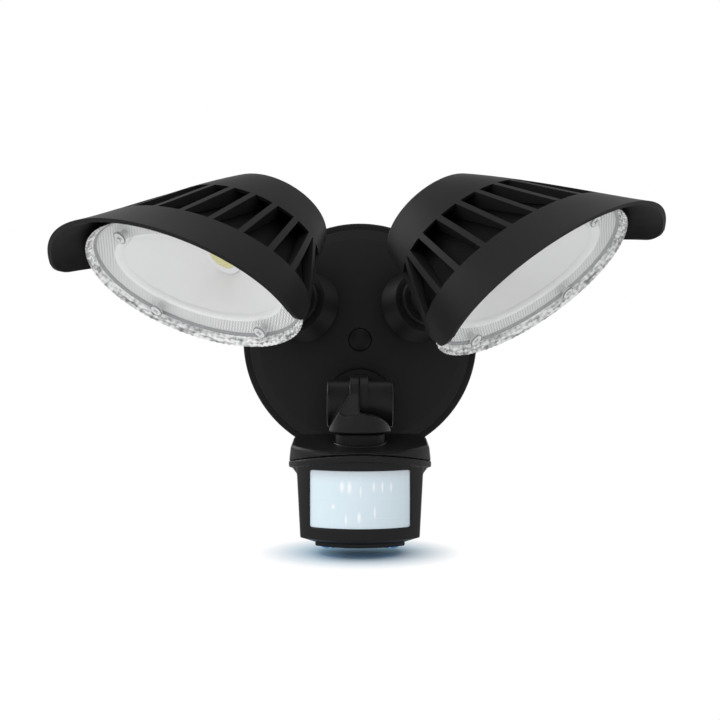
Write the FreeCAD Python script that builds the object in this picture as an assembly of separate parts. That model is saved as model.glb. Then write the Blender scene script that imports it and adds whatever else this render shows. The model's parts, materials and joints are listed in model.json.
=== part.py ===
import FreeCAD, Part
import math
import os

from FreeCAD import Placement, Rotation, Vector

# Wall light with two louvred lamp heads and a movement sensor. Millimetres.
# Frame: +Z up, +Y into the wall, +X to the right as the light is faced.
# Origin: centre of the canopy's rear face, on the wall.

# ---- fits ---------------------------------------------------------------
run_gap = 0.3        # between pieces that move past each other
fit_gap = 0.06       # radial, pin or spigot in its hole
seat_gap = 0.4       # cover over core, loose inside one body

# ---- canopy -------------------------------------------------------------
canopy_r = 60.0
canopy_side = 8.0    # wall face to the front edge of the side wall
canopy_step_r = 56.5
canopy_panel_r = 51.5
canopy_panel_y = 12.0
canopy_depth = 20.0  # wall face to the top of the dome
canopy_wall = 2.4
canopy_step_rise = 1.6
plug_r = 5.5
plug_dome = 1.2
plug_len = 4.0
plug_slack = 0.45    # dark ring round the plug
centre_screw_r = 2.0
centre_head_r = 4.2
centre_head_t = 2.6
post_r = 8.2
gasket_t = 4.0
gasket_w = 5.0

# ---- crossbar behind the canopy ----------------------------------------
bar_w = 14.0
bar_t = 1.6
bar_len = 102.0
bar_raise = 6.0
bar_mid = 17.0       # half length of the raised middle
bar_slope = 6.0
slot_spacing = 88.9  # round junction box
slot_len = 8.0
slot_r = 2.3
bar_nut_af = 8.0
bar_nut_t = 3.2
ground_x = 12.3
ground_r = 1.8
ground_head_r = 3.4
ground_head_t = 1.8
ground_len = 5.0

# ---- driver in the canopy ----------------------------------------------
driver_w = 38.0
driver_h = 14.0
driver_t = 7.0
driver_z = 37.0
driver_back = 2.0
driver_pitch = 24.0
driver_post_r = 3.0

# ---- lamp arms ----------------------------------------------------------
arm_x = 31.35        # centre of the arm's seat, from the canopy's middle
arm_y = 23.23
arm_z = 18.66
arm_splay = 32.1     # arm axis away from straight out
arm_splay_turn = 28.8  # direction of that splay, up from sideways
arm_len = 24.5       # seat to tilt pivot
arm_flange_r = 12.5
arm_flange_t = 3.0
arm_neck_r = 8.6
arm_neck_len = 14.2
arm_bore_r = 5.0
spigot_r = 7.8
spigot_len = 12.5
boss_r = 15.5
boss_flare = 3.0
boss_len = 9.0
boss_floor = 5.0
nut_pocket_r = 12.6
nut_af = 21.0
nut_t = 5.0
tongue_t = 8.0
knuckle_r = 10.0     # ears
tongue_r = 7.6
ear_t = 5.0
tilt_screw_r = 3.0
tilt_head_r = 5.2
tilt_head_t = 3.2
tilt_nut_af = 10.0
tilt_nut_t = 4.0
ring_r = 10.2        # O-ring under a flange
ring_wire = 0.95
swivel = {-1: -10.8, 1: 22.7}  # degrees, left and right as shown
tilt = {-1: 59.2, 1: 58.1}

# ---- lamp heads, in the head's own frame --------------------------------
# front is -Y, lens face at y = 0, long axis along X; each ring is depth, half width, half height, rise
visor_ring = (-15.4, 71.0, 47.7, 1.5)
band_ring = (8.2, 60.0, 35.4, 2.2)
rear_ring = (41.6, 42.0, 27.9, -3.9)
cap_ring = (67.0, 28.6, 23.7, -11.8)
cap_round = 3.5
hood_wall = 2.2
hood_end = 2.8
visor_sweep = 3.0    # how far the visor's ends lie behind its middle
visor_corner = 9.5
visor_drop = -1.3    # height of the visor's side edge at the lens face
visor_rise = 26.7    # degrees, that edge climbs towards the front
under_front = 7.0    # front edge of the hood's lower half
under_louvre = 14.0
rib_spots = (7.0, 21.5, 37.0, 54.0, 70.5)  # degrees round the oval from its top, at the front band
rib_fan = 1.09       # the same at the rear band, as a factor
rib_t = 2.8
rib_front_y = 9.5    # where the ribs begin to deepen
rib_depth = 9.0
rib_reach = 13.0     # how far in the rib plates are drawn
under_ribs = 3
louvre_end = 87.0    # degrees from the top where the louvres stop
pad_half = 13.0
pivot_y = 46.1
pivot_z = -40.5

lens_a, lens_b = 61.2, 35.6
lens_back_a, lens_back_b = 56.5, 32.0
lens_back_z = 1.5
lens_t = 6.0
lens_wall = 2.0
lens_seal_t = 1.2
lens_seal_w = 3.6
lens_edge = 0.3      # step in from the lens rim to the seal, and from the seal to the reflector
screw_ring_a, screw_ring_b = 51.5, 26.9
lens_screw_turns = (54.0, 126.0, -126.0, -54.0)
lens_screw_r = 1.5
lens_screw_len = 10.5
lens_head_r = 2.7
lens_head_t = 1.6
lens_boss_r = 4.2
bowl_a, bowl_b = 46.5, 23.3
bowl_foot_r = 10.0
bowl_foot_y = 25.0
bowl_foot_z = -3.5
bowl_wall = 1.2
lip_t = 0.7
chip_r = 8.0
chip_t = 1.0
board_r = 15.0
board_t = 1.6
hood_screw_x = 11.0
hood_screw_r = 2.0
hood_screw_head_r = 3.6
hood_screw_head_t = 2.2
hood_screw_len = 12.0

# ---- sensor arm and knuckle --------------------------------------------
sensor_z = -31.0
sensor_seat = 22.0   # arm seat, out from the wall
sensor_boss_r = 16.0
sensor_boss_flare = 3.0
sensor_neck_r = 8.4
barrel_y = -50.0
barrel_r = 11.2
barrel_half = 15.6
disc_r = 13.4
disc_left = 4.6
disc_right = 3.8
sensor_pin_r = 3.0
sensor_pin_head_r = 5.5
sensor_pin_head_t = 2.0
sensor_nut_af = 10.0
sensor_nut_t = 3.6
sensor_pin_sink = 0.3  # screw head and nut below the barrel's ends
neck_y = -64.5
neck_r = 14.4
neck_base_z = -43.8
neck_arch = 9.0
collar_r = 11.4
collar_len = 6.4
web_top = 5.2        # top of the web above the barrel's middle
pan_r = 6.5
pan_len = 6.2
pan_ring_r = 10.0
pan_ring_t = 2.4

# ---- sensor head --------------------------------------------------------
head_rear = -42.5
head_front = -90.0
seam_half = 33.2
top_half = 31.0
body_half = 28.9
foot_half = 27.3
cap_rear_z = -45.4
cap_slope = 7.7      # degrees, the cap's top falls towards the front
cap_wall = 2.4
seam_side_z = -56.7
seam_rise = 4.3      # the seam's middle above its ends
flange_drop = 3.2
body_top_z = -62.6
body_foot_z = -91.2
plate_z = -95.0
plate_half = 20.4
body_wall = 2.2
front_r = 36.5
plate_front_r = 30.0
window_half = 22.6
window_top_z = -59.9
window_foot_z = -85.6
window_t = 1.6
window_recess = 0.8
dial_pitch = 13.6
dial_y = -72.0
dial_r = 4.2
dial_t = 2.2
dial_proud = 0.9
dial_slot = 1.2
pot_w = 8.0
pot_h = 5.0
shaft_r = 1.6
seam_gap = 0.2
plate_t = 1.8
plate_front = -83.0
plate_rear = -48.0
board_half = 21.0
board_y0 = -76.0
board_y1 = -52.0
board_z = -86.0
eye_y = -64.0
eye_half = 15.0
eye_height = 22.0
eye_r = 4.3
eye_len = 4.2
cell_x = -10.0
cell_r = 2.4
cell_len = 2.0

out = Vector(0, -1, 0)
right = Vector(1, 0, 0)
up = Vector(0, 0, 1)


# ---- small helpers ------------------------------------------------------
def rod(r, base, axis, length):
    return Part.makeCylinder(r, length, base, axis)


def taper(r0, r1, base, axis, length):
    return Part.makeCone(r0, r1, length, base, axis)


def block(x0, x1, y0, y1, z0, z1):
    return Part.makeBox(x1 - x0, y1 - y0, z1 - z0, Vector(x0, y0, z0))


def tube(r_out, r_in, base, axis, length):
    return rod(r_out, base, axis, length).cut(rod(r_in, base, axis, length))


def hexagon(af, base, axis, length):
    r = af / math.sqrt(3)
    turn = Rotation(up, axis)
    turns = [math.radians(60 * i) for i in range(7)]
    pts = [base + turn.multVec(Vector(r * math.cos(t), r * math.sin(t), 0)) for t in turns]
    return Part.Face(Part.makePolygon(pts)).extrude(axis * length)


def hex_nut(af, bore_r, base, axis, length):
    return hexagon(af, base, axis, length).cut(rod(bore_r, base, axis, length))


def screw(shank_r, head_r, head_t, base, axis, length):
    # base is the seat under the head, axis runs along the shank; cross recess in the head
    back = base - axis * head_t
    body = rod(shank_r, base, axis, length).fuse(rod(head_r, back, axis, head_t))
    side = axis.cross(up if abs(axis.z) < 0.9 else right).normalize()
    other = axis.cross(side)
    arm, half, deep = head_r * 0.6, head_r * 0.14, head_t * 0.5
    for a, b in ((side, other), (other, side)):
        pts = [back + a * (arm * i) + b * (half * j) for i, j in ((-1, -1), (1, -1), (1, 1), (-1, 1), (-1, -1))]
        body = body.cut(Part.Face(Part.makePolygon(pts)).extrude(axis * deep))
    return body


def oval(a, b, y, centre_z=0.0):
    ring = Part.Ellipse(Vector(0, y, centre_z), a, b).toShape()
    ring.rotate(Vector(0, y, centre_z), right, 90)
    return Part.Wire(ring)


def oval_loft(rings, ruled=False):
    return Part.makeLoft([oval(a, b, y, z) for y, a, b, z in rings], True, ruled)


def oval_prism(a, b, y0, y1, centre_z=0.0):
    return Part.Face(oval(a, b, y0, centre_z)).extrude(Vector(0, y1 - y0, 0))


def profile_yz(pts, x0, x1):
    wire = Part.makePolygon([Vector(x0, y, z) for y, z in pts + pts[:1]])
    return Part.Face(wire).extrude(Vector(x1 - x0, 0, 0))


def spin(edges):
    return Part.Face(Part.Wire(edges)).revolve(Vector(), Vector(0, 1, 0), 360)


def line(p, q):
    return Part.LineSegment(Vector(*p), Vector(*q)).toShape()


def arc(p, m, q):
    return Part.Arc(Vector(*p), Vector(*m), Vector(*q)).toShape()


# ---- canopy -------------------------------------------------------------
dome_rise = canopy_depth - canopy_panel_y
dome_r = (canopy_panel_r ** 2 + dome_rise ** 2) / (2 * dome_rise)


def dome_y(r):
    # front of the dome at a distance from the middle
    return -(canopy_depth - dome_r + math.sqrt(dome_r ** 2 - r ** 2))


def canopy_skin(inset):
    # solid of revolution under the canopy's front, inset by a wall
    r0, r1, r2 = canopy_r - inset, canopy_step_r - inset, canopy_panel_r - inset
    y0 = -(canopy_side - inset)
    y1 = y0 - canopy_step_rise
    y2 = -(canopy_panel_y - inset)
    top = -(canopy_depth - inset)
    mid = dome_y(r2 / 2) + inset
    edges = [line((0, 0, 0), (r0, 0, 0)), line((r0, 0, 0), (r0, y0, 0)), line((r0, y0, 0), (r1, y0, 0)),
             line((r1, y0, 0), (r1, y1, 0)), line((r1, y1, 0), (r2, y2, 0)),
             arc((r2, y2, 0), (r2 / 2, mid, 0), (0, top, 0)), line((0, top, 0), (0, 0, 0))]
    return spin(edges)


def soften(shape, radius, keep):
    # round the edges that the test picks
    picked = [e for e in shape.Edges if keep(e)]
    return shape.makeFillet(radius, picked) if picked else shape


def ring_edge(edge, r, y, tol=0.02):
    box = edge.BoundBox
    return box.YLength < tol and abs(box.YMax - y) < tol and abs(edge.Length - 2 * math.pi * r) < tol * r


def arm_axis(side):
    s, t = math.radians(arm_splay), math.radians(arm_splay_turn)
    return Vector(side * math.sin(s) * math.cos(t), -math.cos(s), math.sin(s) * math.sin(t))


def arm_seat(side):
    return Vector(side * arm_x, -arm_y, arm_z)


def boss_parts(seat, axis, r, flare, length, pocket):
    # solid boss, its through hole and the nut's pocket behind the floor
    boss = taper(r + flare, r, seat - axis * length, axis, length)
    hole = rod(spigot_r + fit_gap, seat - axis * 30, axis, 40)
    back = rod(pocket, seat - axis * (boss_floor + 14), axis, 14)
    return boss, hole, back


def sensor_mouth():
    return Vector(0, -sensor_seat, sensor_z)


def canopy():
    skin = canopy_skin(0)
    skin = soften(skin, 1.0, lambda e: ring_edge(e, canopy_r, -canopy_side))
    skin = soften(skin, 0.6, lambda e: ring_edge(e, canopy_step_r, -canopy_side - canopy_step_rise))
    spots = [boss_parts(arm_seat(s), arm_axis(s), boss_r, boss_flare, boss_len, nut_pocket_r) for s in (-1, 1)]
    spots.append(boss_parts(sensor_mouth(), out, sensor_boss_r, sensor_boss_flare, boss_len, nut_pocket_r))
    body = skin.fuse([b for b, h, p in spots])
    body = body.cut(canopy_skin(canopy_wall))
    post = rod(post_r, Vector(0, -bar_raise - bar_t, 0), out, canopy_depth - bar_raise - bar_t - canopy_wall)
    studs = [rod(driver_post_r, Vector(x, -driver_back - driver_t, driver_z), out,
                 canopy_depth - driver_back - driver_t - canopy_wall - 4)
             for x in (-driver_pitch / 2, driver_pitch / 2)]
    studs = [s.common(canopy_skin(canopy_wall / 2)) for s in studs]
    ledge_r = canopy_r - canopy_wall
    ledge = tube(ledge_r + canopy_wall / 2, ledge_r - gasket_w, Vector(0, -gasket_t, 0), out, 1.6)
    body = body.fuse([post, ledge] + studs)
    well_y = canopy_depth - plug_len
    cuts = [rod(plug_r + plug_slack, Vector(0, -well_y + centre_head_t, 0), out, 20),
            rod(centre_screw_r + fit_gap, Vector(), out, 30)]
    for b, h, p in spots:
        cuts += [h, p]
    return body.cut(cuts).removeSplitter()


def screw_head_y():
    return -(canopy_depth - plug_len)


def screw_plug():
    top = canopy_depth + 0.4 + plug_dome
    ball_r = (plug_r ** 2 + plug_dome ** 2) / (2 * plug_dome)
    ball = Part.makeSphere(ball_r, Vector(0, ball_r - top, 0))
    return rod(plug_r, Vector(0, screw_head_y(), 0), out, top + screw_head_y()).common(ball)


def centre_screw():
    seat = Vector(0, screw_head_y() + centre_head_t, 0)
    return screw(centre_screw_r, centre_head_r, centre_head_t, seat, -out, -seat.y - 1.0)


def canopy_gasket():
    r = canopy_r - canopy_wall - run_gap
    return tube(r, r - gasket_w, Vector(), out, gasket_t)


# ---- crossbar -----------------------------------------------------------
def crossbar():
    low, high, t = 0.0, -bar_raise, bar_t
    x1, x2, x3 = bar_mid, bar_mid + bar_slope, bar_len / 2
    front = [(-x3, low - t), (-x2, low - t), (-x1, high - t), (x1, high - t), (x2, low - t), (x3, low - t)]
    back = [(x3, low), (x2, low), (x1, high), (-x1, high), (-x2, low), (-x3, low)]
    pts = [Vector(x, y, -bar_w / 2) for x, y in front + back + front[:1]]
    bar = Part.Face(Part.makePolygon(pts)).extrude(up * bar_w)
    half = slot_len / 2 - slot_r
    for side in (-1, 1):
        x = side * slot_spacing / 2
        slot = block(x - half, x + half, -t, 0, -slot_r, slot_r)
        ends = [rod(slot_r, Vector(x + e, 0, 0), out, t) for e in (-half, half)]
        bar = bar.cut([slot] + ends)
    holes = [rod(r + fit_gap, Vector(x, 0, 0), out, 20) for x, r in ((0, centre_screw_r), (ground_x, ground_r))]
    return bar.cut(holes)


def crossbar_nut():
    return hex_nut(bar_nut_af, centre_screw_r + fit_gap, Vector(0, -bar_raise, 0), -out, bar_nut_t)


def ground_screw():
    seat = Vector(ground_x, -bar_raise - bar_t, 0)
    return screw(ground_r, ground_head_r, ground_head_t, seat, -out, ground_len)


def driver_case():
    y1 = -driver_back
    y0 = y1 - driver_t
    case = block(-driver_w / 2, driver_w / 2, y0, y1, driver_z - driver_h / 2, driver_z + driver_h / 2)
    return soften(case, 1.2, lambda e: abs(e.tangentAt(e.FirstParameter).y) > 0.9)


# ---- lamp arms, in the arm's own frame: seat at the origin, out along -Y --
def arm_frame(side):
    axis = arm_axis(side)
    flat = up.cross(axis).normalize()
    base = Rotation(flat, -axis, flat.cross(-axis), "XYZ")
    turn = Rotation(axis, swivel[side])
    return Placement(arm_seat(side), turn.multiply(base))


def head_frame(side):
    dip = Placement(Vector(0, -arm_len, 0), Rotation(right, tilt[side]))
    pivot = Placement(Vector(0, -pivot_y, -pivot_z), Rotation())
    return arm_frame(side).multiply(dip).multiply(pivot)


def lamp_arm():
    start = Vector()
    flange = rod(arm_flange_r, start, out, arm_flange_t)
    flange = soften(flange, 1.0, lambda e: ring_edge(e, arm_flange_r, -arm_flange_t))
    neck = taper(arm_neck_r + 0.6, arm_neck_r, start, out, arm_neck_len)
    spigot = rod(spigot_r, start, -out, spigot_len)
    pivot = Vector(0, -arm_len, 0)
    disc = rod(tongue_r, pivot - right * (tongue_t / 2), right, tongue_t)
    web = block(-tongue_t / 2, tongue_t / 2, -arm_len, -arm_neck_len + 2, -arm_neck_r + 1.5, arm_neck_r - 1.5)
    body = flange.fuse([neck, spigot, disc, web])
    groove = tube(ring_r + ring_wire + 0.1, ring_r - ring_wire - 0.1, start, out, 2 * ring_wire + 0.1)
    bore = rod(arm_bore_r, Vector(0, spigot_len, 0), out, spigot_len + arm_neck_len - 3)
    pin = rod(tilt_screw_r + fit_gap, pivot - right * 20, right, 40)
    return body.cut([groove, bore, pin]).removeSplitter()


def arm_ring():
    ring = Part.makeTorus(ring_r, ring_wire, Vector(0, -ring_wire - 0.05, 0), out)
    return ring


def arm_nut():
    return hex_nut(nut_af, spigot_r + fit_gap, Vector(0, boss_floor, 0), -out, nut_t)


# ---- lamp head ----------------------------------------------------------
hood_rings = [visor_ring, band_ring, rear_ring, cap_ring]
visor_y, band_y, rear_y, cap_y = [ring[0] for ring in hood_rings]
cap_z = cap_ring[3]
core_front = lens_t + lens_seal_t
hood_screw_seat = cap_y - hood_end + 0.6


def hood_size(y):
    # half sizes and rise of the hood's outside at a depth, along the straight runs between its rings
    for low, high in zip(hood_rings, hood_rings[1:]):
        if y <= high[0]:
            break
    k = (y - low[0]) / (high[0] - low[0])
    return [p + k * (q - p) for p, q in zip(low[1:], high[1:])]


def hood_point(y, turn):
    a, b, z = hood_size(y)
    return Vector(a * math.cos(math.radians(turn)), y, z + b * math.sin(math.radians(turn)))


def hood_skin(inset=0.0):
    return oval_loft([(y, a - inset, b - inset, z) for y, a, b, z in hood_rings])


def core_rings(extra):
    # the fins' inner edges: they deepen from the front band to the rear band
    rings = []
    for y, inset in ((core_front, hood_wall), (rear_y, rib_depth), (cap_y - hood_end, rib_depth)):
        a, b, z = hood_size(y)
        rings.append((y, a - inset - extra, b - inset - extra, z))
    return rings


def rib_turns():
    # where each rib meets the front band and the rear band
    top = [(90 + s * t, 90 + s * t * rib_fan) for t in rib_spots for s in (-1, 1)]
    low = [(-90 + s * t, -90 + s * t * rib_fan) for t in rib_spots[-under_ribs:] for s in (-1, 1)]
    return top + low


def rib_plate(front, rear):
    a, b, z = hood_size((band_y + rear_y) / 2)
    mid = math.radians((front + rear) / 2)
    deep = Vector(math.cos(mid) / a, 0, math.sin(mid) / b).normalize()
    p, q = hood_point(band_y, front), hood_point(rear_y, rear)
    run = (q - p) * (1 / (rear_y - band_y))
    start, end = p - run * hood_wall, q + run * rib_t
    side = run.cross(deep).normalize() * rib_t
    reach = deep * rib_reach
    corners = [start + reach, end + reach, end - reach, start - reach, start + reach]
    face = Part.Face(Part.makePolygon([c - side * 0.5 for c in corners]))
    return face.extrude(side)


def louvre_zone():
    # the ring of space between the front and rear bands that is open between ribs
    z = hood_size((band_y + rear_y) / 2)[2]
    edge = hood_point((band_y + rear_y) / 2, 90 - louvre_end)
    wide = 3 * edge.x
    climb = wide * (edge.z - z) / edge.x
    made = []
    for side, y in ((1, band_y), (-1, under_louvre)):
        low, far = z + side * climb, side * wide
        pts = [(0, z), (wide, low), (wide, far), (-wide, far), (-wide, low)]
        face = Part.Face(Part.makePolygon([Vector(px, y, pz) for px, pz in pts + pts[:1]]))
        made.append(face.extrude(Vector(0, rear_y - y, 0)))
    upper, under = made
    return upper.fuse(under.cut(block(-pad_half, pad_half, 0, cap_y, -wide, 0)))


def round_corner(corner, one, two, radius):
    # arc that rounds the corner between two edges leaving it in the directions one and two
    half = one.getAngle(two) / 2
    middle = (one + two).normalize()
    reach = radius / math.tan(half)
    start, end = corner + one * reach, corner + two * reach
    return start, corner + middle * (radius / math.sin(half) - radius), end


def visor_cut():
    # takes the front away below the visor's side edges, and sweeps the visor's front back at its ends
    slope = math.tan(math.radians(visor_rise))
    front, low = visor_y - 5, -90
    edge_y = visor_y + visor_sweep
    corner = Vector(0, edge_y, visor_drop - slope * edge_y)
    back = Vector(0, under_front, visor_drop - slope * under_front)
    start, middle, end = round_corner(corner, up, (back - corner).normalize(), visor_corner)
    foot = [line((0, front, low), (0, under_front, low)), line((0, under_front, low), back), line(back, end),
            arc(end, middle, start), line(start, (0, front, start.z)), line((0, front, start.z), (0, front, low))]
    under = Part.Face(Part.Wire(foot)).extrude(right * 200)
    under.translate(right * -100)
    sweep_r = (visor_ring[1] ** 2 + visor_sweep ** 2) / (2 * visor_sweep)
    inside = rod(sweep_r, Vector(0, visor_y + sweep_r, low), up, -2 * low)
    ahead = block(-100, 100, front, edge_y + 1, low, -low).cut(inside)
    return [under, ahead]


def ears():
    made = []
    for x0 in (tongue_t / 2 + run_gap, -tongue_t / 2 - run_gap - ear_t):
        base = Vector(x0, pivot_y, pivot_z)
        disc = rod(knuckle_r, base, right, ear_t)
        leg = block(x0, x0 + ear_t, pivot_y - knuckle_r, pivot_y + knuckle_r * 0.8, pivot_z, cap_z - knuckle_r)
        made += [disc, leg]
    return made


def hood():
    solid = soften(hood_skin(), cap_round, lambda e: e.BoundBox.YMin > cap_y - 0.01)
    hollow = hood_skin(hood_wall).common(block(-99, 99, visor_y, cap_y - hood_end, -99, 99))
    plates = [rib_plate(front, rear) for front, rear in rib_turns()]
    deep = oval_loft(core_rings(0), True)
    band = block(-99, 99, rib_front_y, rear_y + rib_t, -99, 99)
    fins = [plate.common(band).cut(deep) for plate in plates]
    body = solid.cut(hollow.cut(fins)).cut(louvre_zone().cut(plates))
    body = body.fuse([e.cut(hollow) for e in ears()])
    body = body.cut(visor_cut())
    pin = rod(tilt_screw_r + fit_gap, Vector(-20, pivot_y, pivot_z), right, 40)
    holes = [rod(hood_screw_r + fit_gap, p, out, 8) for p in hood_screw_spots(cap_y + 1)]
    wells = [rod(hood_screw_head_r + run_gap, p, -out, 8) for p in hood_screw_spots(hood_screw_seat)]
    return body.cut([pin] + holes + wells)


def hood_screw_spots(y):
    return [Vector(x, y, cap_z) for x in (-hood_screw_x, hood_screw_x)]


def heat_core():
    body = oval_loft(core_rings(seat_gap), True)
    slack = bowl_wall + 0.6
    bowl = oval_loft([(core_front, bowl_a + slack, bowl_b + slack, 0),
                      (bowl_foot_y + chip_t, board_r + 0.5, board_r - 1, bowl_foot_z)], True)
    pocket = rod(board_r + run_gap, Vector(0, bowl_foot_y + chip_t, bowl_foot_z), -out, board_t)
    cuts = [bowl, pocket]
    cuts += [rod(lens_screw_r + fit_gap, p, -out, lens_screw_len) for p in lens_screw_spots(core_front)]
    cuts += [rod(hood_screw_r + fit_gap, p, out, hood_screw_len + 1) for p in hood_screw_spots(hood_screw_seat)]
    return body.cut(cuts)


def lens_screw_spots(y):
    turns = [math.radians(t) for t in lens_screw_turns]
    return [Vector(screw_ring_a * math.cos(t), y, screw_ring_b * math.sin(t)) for t in turns]


def lens():
    outer = oval_loft([(0, lens_a, lens_b, 0), (lens_t, lens_back_a, lens_back_b, lens_back_z)], True)
    outer = soften(outer, 1.2, lambda e: e.BoundBox.YMax < 0.01)
    w = lens_wall
    k = lens_wall / lens_t
    front_a, front_b = lens_a + k * (lens_back_a - lens_a), lens_b + k * (lens_back_b - lens_b)
    inner = oval_loft([(w, front_a - w, front_b - w, k * lens_back_z),
                       (lens_t, lens_back_a - w, lens_back_b - w, lens_back_z)], True)
    bosses = [rod(lens_boss_r, p, out, lens_t - lens_wall / 2) for p in lens_screw_spots(lens_t)]
    body = outer.cut(inner).fuse(bosses)
    holes = [rod(lens_screw_r + fit_gap, p, -out, 20) for p in lens_screw_spots(-1)]
    wells = [rod(lens_head_r + run_gap, p, out, 10) for p in lens_screw_spots(lens_head_t + 0.6)]
    return body.cut(holes + wells)


def lens_screw_holes():
    return [rod(lens_screw_r + fit_gap, p, -out, 20) for p in lens_screw_spots(0)]


def lens_seal():
    a, b, z = lens_back_a - lens_edge, lens_back_b - lens_edge, lens_back_z
    ring = oval_prism(a, b, lens_t, core_front, z)
    inside = oval_prism(a - lens_seal_w, b - lens_seal_w, lens_t, core_front, z)
    return ring.cut([inside] + lens_screw_holes())


def lens_screw_set():
    return Part.makeCompound([screw(lens_screw_r, lens_head_r, lens_head_t, p, -out, lens_screw_len)
                              for p in lens_screw_spots(lens_head_t + 0.6)])


def reflector():
    a, b, w = bowl_a, bowl_b, bowl_wall
    rim_y, foot_y, foot_z = core_front - lip_t, bowl_foot_y, bowl_foot_z
    outer = oval_loft([(rim_y, a + w, b + w, 0), (foot_y, bowl_foot_r + w, bowl_foot_r + w, foot_z)], True)
    inner = oval_loft([(rim_y, a, b, 0), (foot_y, bowl_foot_r, bowl_foot_r, foot_z)], True)
    k = lens_edge + lens_seal_w + lens_edge
    lip = oval_prism(lens_back_a - k, lens_back_b - k, rim_y, core_front, lens_back_z)
    return lip.fuse(outer).cut([inner] + lens_screw_holes())


def led_chip():
    return rod(chip_r, Vector(0, bowl_foot_y, bowl_foot_z), -out, chip_t)


def led_board():
    return rod(board_r, Vector(0, bowl_foot_y + chip_t, bowl_foot_z), -out, board_t)


def hood_screw_set():
    return Part.makeCompound([screw(hood_screw_r, hood_screw_head_r, hood_screw_head_t, p, out, hood_screw_len)
                              for p in hood_screw_spots(hood_screw_seat)])


def tilt_screw():
    half = tongue_t / 2 + run_gap + ear_t
    seat = Vector(-half, pivot_y, pivot_z)
    return screw(tilt_screw_r, tilt_head_r, tilt_head_t, seat, right, 2 * half + tilt_nut_t + 1)


def tilt_nut():
    half = tongue_t / 2 + run_gap + ear_t
    return hex_nut(tilt_nut_af, tilt_screw_r + fit_gap, Vector(half, pivot_y, pivot_z), right, tilt_nut_t)


# ---- sensor arm and neck ------------------------------------------------
def sensor_pivot():
    return Vector(0, barrel_y, sensor_z)


def sensor_pin_seat():
    return sensor_pivot() - right * (barrel_half - sensor_pin_head_t - sensor_pin_sink)


def sensor_nut_seat():
    return sensor_pivot() + right * (barrel_half - sensor_nut_t - sensor_pin_sink)


def sensor_arm():
    seat, pivot, half = sensor_mouth(), sensor_pivot(), run_gap / 2
    flange = rod(arm_flange_r, seat, out, arm_flange_t)
    flange = soften(flange, 1.0, lambda e: ring_edge(e, arm_flange_r, -sensor_seat - arm_flange_t))
    spigot = rod(spigot_r, seat, -out, spigot_len)
    reach = -barrel_y - sensor_seat
    clear = reach - disc_r - run_gap
    stub = rod(sensor_neck_r, seat, out, clear)
    side = rod(sensor_neck_r, seat, out, reach).common(block(half, 40, barrel_y, 0, -99, 0))
    disc = rod(disc_r, pivot + right * half, right, disc_right - half)
    barrel = rod(barrel_r, pivot + right * half, right, barrel_half - half)
    barrel = soften(barrel, 0.8, lambda e: e.BoundBox.XMin > barrel_half - 0.01)
    body = flange.fuse([spigot, stub, side, disc, barrel])
    groove = tube(ring_r + ring_wire + 0.1, ring_r - ring_wire - 0.1, seat, out, 2 * ring_wire + 0.1)
    bore = rod(arm_bore_r, seat - out * spigot_len, out, spigot_len + clear - 3)
    pin = rod(sensor_pin_r + fit_gap, pivot - right * 30, right, 60)
    well = rod(sensor_nut_af / math.sqrt(3) + run_gap, sensor_nut_seat(), right, 10)
    return body.cut([groove, bore, pin, well]).removeSplitter()


def sensor_ring():
    return Part.makeTorus(ring_r, ring_wire, sensor_mouth() + out * (ring_wire + 0.05), out)


def sensor_arm_nut():
    return hex_nut(nut_af, spigot_r + fit_gap, sensor_mouth() - out * boss_floor, -out, nut_t)


def neck_arch_solid():
    # half oval over the base, run front to back, met with the round of the neck
    arch = Part.Ellipse(Vector(0, 0, 0), neck_r, neck_arch).toShape()
    arch.rotate(Vector(), right, 90)
    arch.translate(Vector(0, neck_y + neck_r, neck_base_z))
    solid = Part.Face(Part.Wire(arch)).extrude(out * (2 * neck_r))
    top = solid.common(block(-99, 99, -99, 0, neck_base_z, 0))
    return top.common(rod(neck_r, Vector(0, neck_y, neck_base_z), up, 40))


def neck_web():
    z0, x1 = neck_base_z, -run_gap / 2
    z2 = sensor_z + web_top
    top = z2 + 4
    pts = [(-neck_r, z0 + 2), (-disc_left, z2), (-disc_left, top), (x1, top), (x1, z0), (-neck_r, z0)]
    wire = Part.makePolygon([Vector(x, -99, z) for x, z in pts + pts[:1]])
    plate = Part.Face(wire).extrude(Vector(0, 99 + barrel_y, 0))
    front = neck_y - neck_r
    side = [(barrel_y, top), (barrel_y - disc_r + 1, top), (barrel_y - disc_r - 1, z2), (front + 2, z0 + 8),
            (front - 1, z0 + 3), (front - 1, z0), (barrel_y, z0)]
    limit = profile_yz(side, -30, 30)
    return plate.common(limit).common(rod(neck_r, Vector(0, neck_y, z0), up, 40))


def sensor_neck():
    pivot, half = sensor_pivot(), run_gap / 2
    disc = rod(disc_r, pivot - right * half, -right, disc_left - half)
    barrel = rod(barrel_r, pivot - right * half, -right, barrel_half - half)
    barrel = soften(barrel, 0.8, lambda e: e.BoundBox.XMax < -barrel_half + 0.01)
    clear_barrel = rod(barrel_r + run_gap, pivot - right * half, right, 60)
    clear_disc = rod(disc_r + run_gap, pivot - right * half, right, disc_right + run_gap + half)
    base_z = Vector(0, neck_y, neck_base_z)
    collar = rod(collar_r, base_z, -up, collar_len)
    pan = rod(pan_r, base_z, -up, collar_len + pan_len)
    base = neck_arch_solid().fuse([collar, pan]).cut([clear_barrel, clear_disc])
    body = base.fuse([disc, barrel, neck_web()])
    pin = rod(sensor_pin_r + fit_gap, pivot - right * 30, right, 60)
    well = rod(sensor_pin_head_r + run_gap, sensor_pin_seat(), -right, 10)
    return body.cut([pin, well]).removeSplitter()


def sensor_tilt_screw():
    length = 2 * (barrel_half - sensor_pin_sink) - sensor_pin_head_t
    return screw(sensor_pin_r, sensor_pin_head_r, sensor_pin_head_t, sensor_pin_seat(), right, length)


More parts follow.
